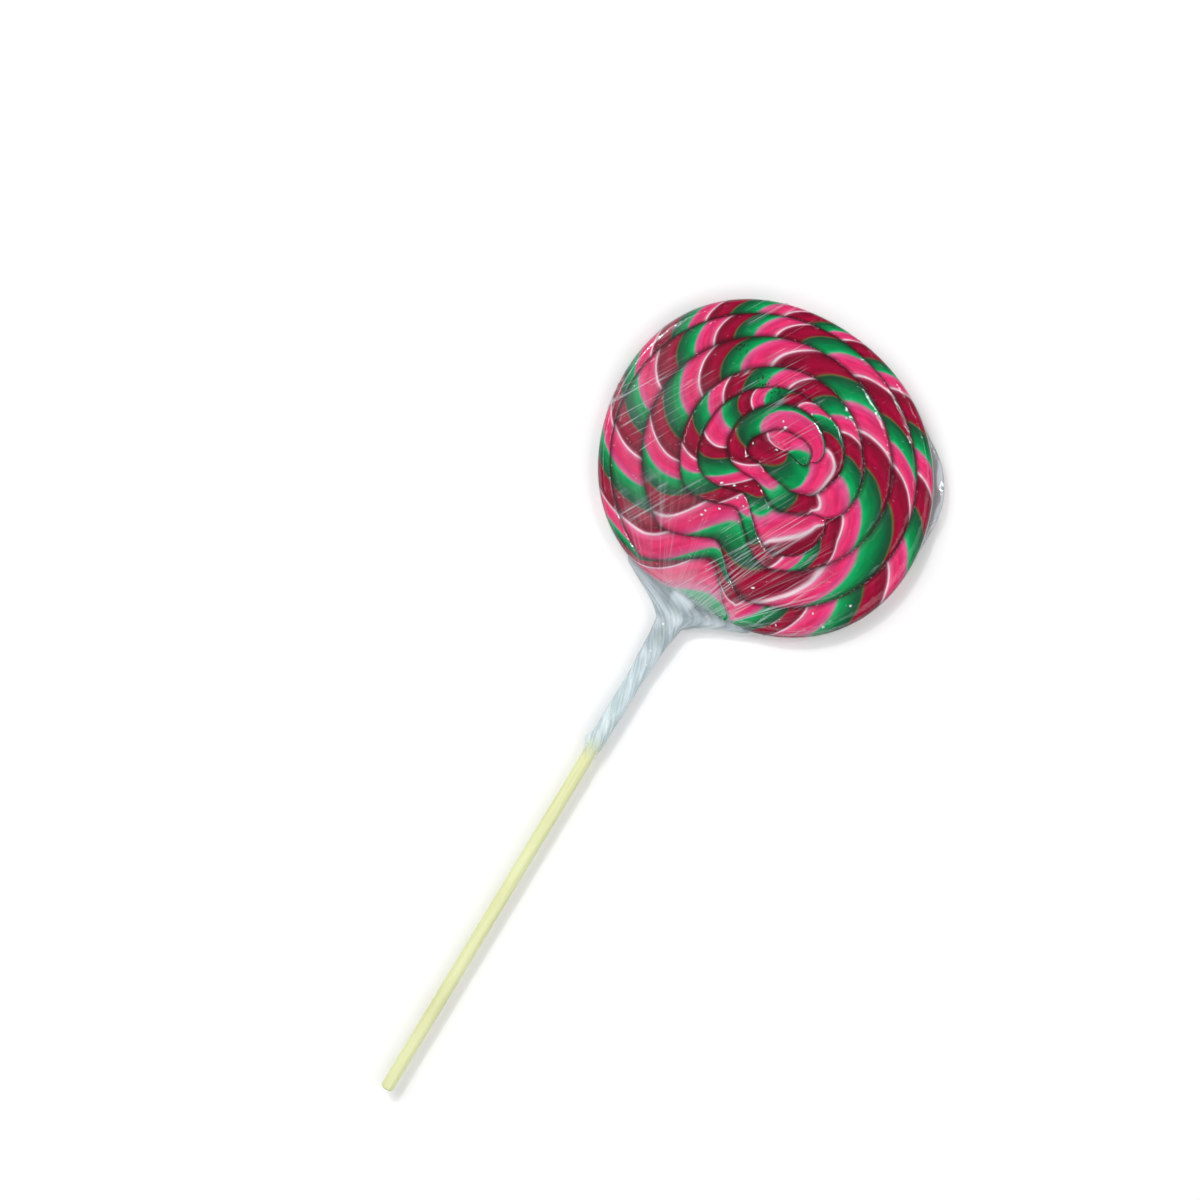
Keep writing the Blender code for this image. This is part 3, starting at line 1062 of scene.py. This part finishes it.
@dataclass
class CoilSkin:
    """A closed skin over the coil: strips along both strands on both sides."""

    coil: Coil
    stripes: Stripes
    step: float
    rows: tuple[int, int]
    top: float
    bottom: float
    middle: float
    groove: float
    under_groove: float
    rim: float
    full_width: float = 10.0
    offset: float = 0.0
    power: float = 3.0
    swell: float = 0.0
    heart_lift: float = 0.7
    fold: float = 143.0
    fold_width: float = 1.1
    fold_end: float = 260.0
    edges: dict = field(default_factory=dict)

    def edge(self, strand: Strand, winding: float) -> tuple:
        """Both edges of a strand, kept once they are worked out.

        Args:
            strand: which strand.
            winding: degrees of winding.

        Returns:
            Inner point, whether it is on the rim, the same for the outer one, and the width.
        """
        key = (strand, round(winding, 4))
        if key not in self.edges:
            inner, inner_rim = self.coil.inner(strand, key[1], self.offset)
            outer, outer_rim = self.coil.outer(strand, key[1], self.offset)
            self.edges[key] = (inner, inner_rim, outer, outer_rim, math.dist(inner, outer))
        return self.edges[key]

    def even(self, strand: Strand, winding: float, share: float) -> float:
        """Share across, with the step at the tongue's end smoothed out.

        Args:
            strand: which strand.
            winding: degrees of winding.
            share: 0 at the inner edge, 1 at the outer edge.

        Returns:
            The share that the stripes go by.
        """
        before = winding - 360.0
        if strand is Strand.LONG or not self.coil.short_ends[0] < before < -8.0:
            return share
        late = before > self.coil.long_ends[0]
        inner = self.coil.long_radius(before) if late else self.coil.short_radius(before)
        outer = self.coil.short_radius(winding)
        rest = inner * ease(before, self.coil.short_ends[0], -8.0)
        return (inner + share * (outer - inner) - rest) / (outer - rest)

    def height(self, strand: Strand, side: Side, winding: float, share: float) -> float:
        """Height of the skin at a point of a strand.

        Args:
            strand: which strand.
            side: top or underside.
            winding: degrees of winding.
            share: 0 at the inner edge, 1 at the outer edge.

        Returns:
            The height.
        """
        inner, inner_rim, _, outer_rim, width = self.edge(strand, winding)
        level, depth = self.top, -self.groove
        if side is Side.UNDER:
            level, depth = self.bottom, self.under_groove
        full = math.sqrt(min(1.0, width / self.full_width))
        rim = outer_rim if share > 0.5 else inner_rim
        low = self.middle if rim else level + depth
        if share < 0.5 and inner == self.coil.heart:
            low = level + depth * (1.0 - self.heart_lift)
        crest = level + depth * (1.0 - full)
        if rim:
            reach = (1.0 - share if share > 0.5 else share) * width
            away = max(0.0, 1.0 - reach / max(0.01, min(self.rim, width / 2.0)))
            shape = math.sqrt(max(0.0, 1.0 - away * away))
        else:
            away = abs(2.0 * share - 1.0)
            shape = math.sqrt(max(0.0, 1.0 - away ** self.power))
        value = low + (crest - low) * shape
        if side is Side.TOP and strand is Strand.SHORT and winding < self.fold_end:
            reach = share * width
            aside = reach * math.sin(math.radians(min(90.0, abs(winding - self.fold))))
            dip = math.exp(-(aside / self.fold_width) ** 2)
            dip *= ease(reach, 0.3, 2.0) * ease(share, 1.0, 0.85)
            value -= 0.8 * self.groove * dip
        if side is Side.TOP and self.swell:
            phase = self.stripes.phase(strand, winding, self.even(strand, winding, share))
            stripe = abs(math.sin(3.0 * math.pi * phase))
            wave = ripple(winding * 0.02, 3.7 if strand is Strand.LONG else 9.1)
            value += self.swell * shape * (0.9 * wave + 0.35 * (stripe - 0.6))
        return value

    def build(self) -> Mesh:
        """Lay the strips and close them along the grooves.

        Returns:
            The closed mesh with its "rope" UV map.
        """
        mesh = bmesh.new()
        for strand in Strand:
            start, end = self.coil.ends(strand)
            columns = round((end - start) / self.step)
            for side, rows in zip(Side, self.rows):
                def place(run: float, share: float) -> Triple:
                    """Lay one grid point on the coil.

                    Args:
                        run: share along the strand.
                        share: 0 at the inner edge, 1 at the outer edge.

                    Returns:
                        The point.
                    """
                    winding = start + (end - start) * run
                    inner, _, outer, _, _ = self.edge(strand, winding)
                    x = inner[0] + (outer[0] - inner[0]) * share
                    y = inner[1] + (outer[1] - inner[1]) * share
                    return x, y, self.height(strand, side, winding, share)

                def mark(run: float, share: float) -> Point:
                    """Mark one grid point.

                    Args:
                        run: share along the strand.
                        share: 0 at the inner edge, 1 at the outer edge.

                    Returns:
                        Stripe phase and share across.
                    """
                    winding = start + (end - start) * run
                    even = self.even(strand, winding, share)
                    return self.stripes.phase(strand, winding, even), share

                sheet(mesh, columns, rows, place, side is Side.TOP, mark)
        bmesh.ops.remove_doubles(mesh, verts=mesh.verts, dist=0.0000015)
        bmesh.ops.dissolve_degenerate(mesh, dist=0.000001, edges=mesh.edges)
        bmesh.ops.holes_fill(mesh, edges=open_edges(mesh), sides=0)
        bmesh.ops.recalc_face_normals(mesh, faces=mesh.faces)
        return mesh


@dataclass
class CandyDisc:
    """The coiled candy."""

    coil: Coil
    stripes: Stripes
    step: float = 1.25
    rows: tuple[int, int] = (14, 6)
    top: float = 13.1
    bottom: float = 0.6
    middle: float = 6.7
    groove: float = 2.4
    under_groove: float = 0.9
    rim: float = 6.0

    def build(self) -> bpy.types.Object:
        """Make the striped candy.

        Returns:
            The piece.
        """
        skin = CoilSkin(self.coil, self.stripes, self.step, self.rows, self.top, self.bottom,
                        self.middle, self.groove, self.under_groove, self.rim, swell=0.35)
        return wear(skin.build(), "candy_coil", SugarFinish().build(), ("candy",))


@dataclass
class Dowel:
    """The wooden stick."""

    radius: float = 3.0
    height: float = 6.5
    end: float = -325.5
    inner_end: float = -26.0
    rounding: float = 1.7
    uneven: float = 0.05
    sides: int = 48
    runs: int = 60
    arc_steps: int = 6

    def build(self) -> bpy.types.Object:
        """Spin the stick's profile about its axis.

        Returns:
            The piece.
        """
        mesh = bmesh.new()
        arc = [math.radians(90.0 * step / self.arc_steps) for step in range(self.arc_steps + 1)]
        core = self.radius - self.rounding
        first, last = self.end + self.rounding, self.inner_end - self.rounding
        profile = [(0.0, self.end)]
        profile += [(core + self.rounding * math.sin(a), first - self.rounding * math.cos(a))
                    for a in arc]
        profile += [(self.radius + self.uneven * ripple(index * 0.35, 1.0),
                     first + (last - first) * index / self.runs) for index in range(1, self.runs)]
        profile += [(core + self.rounding * math.cos(a), last + self.rounding * math.sin(a))
                    for a in arc]
        profile.append((0.0, self.inner_end))
        verts = [mesh.verts.new(Vector((x, y, self.height)) * MM) for x, y in profile]
        edges = [mesh.edges.new(pair) for pair in zip(verts, verts[1:])]
        bmesh.ops.spin(mesh, geom=verts + edges, cent=(0.0, 0.0, self.height * MM),
                       axis=(0.0, 1.0, 0.0), angle=math.tau, steps=self.sides, use_merge=True)
        bmesh.ops.remove_doubles(mesh, verts=mesh.verts, dist=0.000002)
        bmesh.ops.recalc_face_normals(mesh, faces=mesh.faces)
        return wear(mesh, "stick_dowel", WoodFinish().build(), ("stick",))


@dataclass
class FilmBag:
    """Clear film: taut over the disc, gathered at the neck, twisted round the stick."""

    coil: Coil
    stripes: Stripes
    axis_height: float = 6.5
    sections: tuple[Row, ...] = (
        (-52.0, 1.5, 26.0, 5.6), (-58.0, 2.0, 32.0, 6.3), (-62.0, 2.0, 34.4, 6.3),
        (-65.2, 1.6, 31.6, 5.8), (-69.5, 0.9, 22.6, 5.2), (-72.5, 0.5, 16.4, 4.8),
        (-75.5, 0.2, 11.3, 4.6), (-79.4, 0.0, 6.8, 4.5), (-88.0, 0.0, 5.4, 4.3),
        (-97.0, 0.0, 4.5, 4.1), (-109.0, 0.0, 3.9, 3.9), (-132.0, 0.0, 4.0, 3.9),
        (-142.0, 0.0, 3.8, 3.75), (-148.4, 0.0, 3.5, 3.5), (-152.5, 0.0, 3.2, 3.2),
    )
    corner_at: float = -142.5
    corner_reach: float = 1.7
    twist: float = 1.8
    sides: int = 120
    rings: int = 110
    ear: Point = (5.0, 46.0)
    ear_reach: float = 4.9

    def face(self) -> bpy.types.Object:
        """Film over both faces of the disc.

        Returns:
            The piece.
        """
        skin = CoilSkin(self.coil, self.stripes, 2.5, (8, 4), 13.6, 0.05, 6.7, 0.45, 0.15, 5.5,
                        offset=0.5, power=5.0)
        return wear(skin.build(), "film_face", FilmFinish("film_clear").build(),
                    ("film_wrapper",))

    def section(self, y: float) -> Triple:
        """Neck section, even between the given ones.

        Args:
            y: place along the stick.

        Returns:
            Sideways shift, half width and half height.
        """
        rows = self.sections
        for low, high in zip(rows, rows[1:]):
            if high[0] <= y <= low[0]:
                share = (y - low[0]) / (high[0] - low[0])
                return tuple(low[i] + (high[i] - low[i]) * share for i in (1, 2, 3))
        return rows[-1][1:]

    def neck(self) -> bpy.types.Object:
        """Gathered neck and twisted sleeve, with creases in the mesh.

        Returns:
            The piece.
        """
        first, last = self.sections[0][0], self.sections[-1][0]
        mesh = bmesh.new()

        def place(run: float, around: float) -> Triple:
            """Lay one grid point of the neck.

            Args:
                run: share from the disc to the sleeve's end.
                around: share round the stick.

            Returns:
                The point.
            """
            y = first + (last - first) * run ** 1.15
            shift, wide, high = self.section(y)
            twist = self.twist * ease(y, -78.0, -150.0)
            turn = math.tau * around - math.pi / 2.0
            round_x, round_z = math.cos(turn), math.sin(turn)
            corner = self.corner_reach * math.exp(-((y - self.corner_at) / 2.6) ** 2)
            corner *= max(0.0, -round_x) ** 6
            wide_turn, fine_turn = turn + twist * 2.5, turn + twist * 3.5
            fold = ripple(1.9 * math.cos(wide_turn), 1.9 * math.sin(wide_turn), y * 0.03)
            fine = ripple(6.0 * math.cos(fine_turn), 6.0 * math.sin(fine_turn), y * 0.05)
            depth = 0.35 + 0.9 * ease(y, -104.0, -74.0) * (1.0 - ease(y, -64.0, -56.0))
            grow = depth * (fold - 0.2) + 0.22 * fine
            x = shift + (wide + grow + corner) * round_x
            return x, y, self.axis_height + (high + grow) * round_z

        sheet(mesh, self.rings, self.sides, place, mark=lambda run, around: (run, around))
        bmesh.ops.remove_doubles(mesh, verts=mesh.verts, dist=0.000002)
        bmesh.ops.holes_fill(mesh, edges=open_edges(mesh), sides=0)
        bmesh.ops.recalc_face_normals(mesh, faces=mesh.faces)
        return wear(mesh, "film_neck", SleeveFinish().build(), ("film_wrapper",))

    def side_ear(self) -> bpy.types.Object:
        """Flat ear of doubled film beyond the disc's edge.

        Returns:
            The piece.
        """
        mesh = bmesh.new()

        def place(run: float, share: float, lift: float) -> Triple:
            """Lay one grid point of the ear.

            Args:
                run: share along the disc's edge.
                share: 0 at the disc, 1 at the ear's edge.
                lift: half the gap between the two films at the disc.

            Returns:
                The point.
            """
            angle = math.radians(self.ear[0] + (self.ear[1] - self.ear[0]) * run)
            reach = 0.4 + self.ear_reach * math.sin(math.pi * run) ** 1.3 * share
            x, y = self.coil.outline(angle, reach)
            wave = 0.9 * ripple(run * 6.0, share * 1.5, 2.0) * share
            return x, y, self.axis_height + wave + lift * (1.0 - 0.7 * share)

        for lift, flip in ((0.35, True), (-0.35, False)):
            sheet(mesh, 60, 10, lambda run, share, up=lift: place(run, share, up), flip)
        bmesh.ops.remove_doubles(mesh, verts=mesh.verts, dist=0.000002)
        bmesh.ops.bridge_loops(mesh, edges=open_edges(mesh))
        bmesh.ops.recalc_face_normals(mesh, faces=mesh.faces)
        # The ear's white streaks are painted reflection.
        finish = FilmFinish("film_doubled", clear=0.32, milky=0.0, lines=0.4, pleats=0.0,
                            bead_glints=0.0, creases=0.4, dimples=0.0, glints=(), tint=(150, 160, 168))
        return wear(mesh, "film_ear", finish.build(), ("film_wrapper",))

    def build(self) -> list[bpy.types.Object]:
        """Make all the film pieces.

        Returns:
            The pieces.
        """
        return [self.face(), self.neck(), self.side_ear()]


@dataclass
class Studio:
    """Pale floor, soft lights and the camera straight above."""

    centre: Point = (-31.7, -86.6)
    turn: float = 31.2
    span: float = 540.0
    distance: float = 1100.0
    plane: float = 10.0
    floor_level: float = -0.3
    aim: Point = (0.0, -30.0)
    surroundings: float = 0.13
    lamps: tuple[tuple[str, float, float, float, float, float], ...] = (
        ("key", 135.0, 50.0, 1.5, 1.1, 12.5),
        ("spark", 120.0, 55.0, 1.5, 0.12, 5.0),
        ("glint", 30.0, 62.0, 1.5, 0.14, 1.6),
        ("fill", -20.0, 46.0, 1.6, 1.4, 10.0),
        ("lower", -110.0, 46.0, 1.6, 1.4, 9.0),
    )

    def floor(self) -> None:
        """Lay the floor just under the part."""
        mesh = bmesh.new()
        bmesh.ops.create_grid(mesh, x_segments=1, y_segments=1, size=4.0)
        bmesh.ops.translate(mesh, verts=mesh.verts, vec=(0.0, 0.0, self.floor_level * MM))
        floor = settle(mesh, "floor")
        material, graph, shader = fresh("floor_paper")
        graph.feed(shader, {"Base Color": (0.93, 0.93, 0.93, 1.0), "Roughness": 0.9})
        floor.data.materials.append(material)

    def light(self, name: str, bearing: float, rise: float, away: float, size: float,
              power: float) -> None:
        """Soft square light aimed at the disc.

        Args:
            name: light name.
            bearing: direction in the picture, degrees counterclockwise from its right.
            rise: degrees above the floor.
            away: distance in metres.
            size: side in metres.
            power: watts.
        """
        data = bpy.data.lights.new(name, "AREA")
        data.shape = "SQUARE"
        data.size = size
        data.energy = power
        lamp = put(name, data)
        angle, slope = math.radians(bearing + self.turn), math.radians(rise)
        flat = away * math.cos(slope)
        spot = Vector((*self.centre, 0.0)) * MM
        spot += Vector((flat * math.cos(angle), flat * math.sin(angle), away * math.sin(slope)))
        lamp.location = spot
        beam = Vector((*self.aim, 0.0)) * MM - spot
        lamp.rotation_euler = beam.to_track_quat("-Z", "Y").to_euler()

    def build(self) -> None:
        """Make the floor, the lights, the surroundings and the camera."""
        self.floor()
        for lamp in self.lamps:
            self.light(*lamp)
        world = bpy.data.worlds.new("studio")
        world.use_nodes = True
        sky = world.node_tree.nodes["Background"]
        sky.inputs["Color"].default_value = (1.0, 1.0, 1.0, 1.0)
        sky.inputs["Strength"].default_value = self.surroundings
        bpy.context.scene.world = world
        bpy.context.scene.view_settings.view_transform = "Standard"
        data = bpy.data.cameras.new("camera")
        data.sensor_width = 36.0
        data.lens = data.sensor_width * self.distance / self.span
        camera = put("camera", data)
        camera.location = Vector((*self.centre, self.plane + self.distance)) * MM
        camera.rotation_euler = (0.0, 0.0, math.radians(self.turn))
        bpy.context.scene.camera = camera


def main() -> None:
    """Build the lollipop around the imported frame."""
    logging.basicConfig(level=logging.INFO, format="%(message)s")
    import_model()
    coil, stripes = Coil(), Stripes()
    CandyDisc(coil, stripes).build()
    Dowel().build()
    FilmBag(coil, stripes).build()
    Studio().build()


if __name__ == "__main__":
    main()
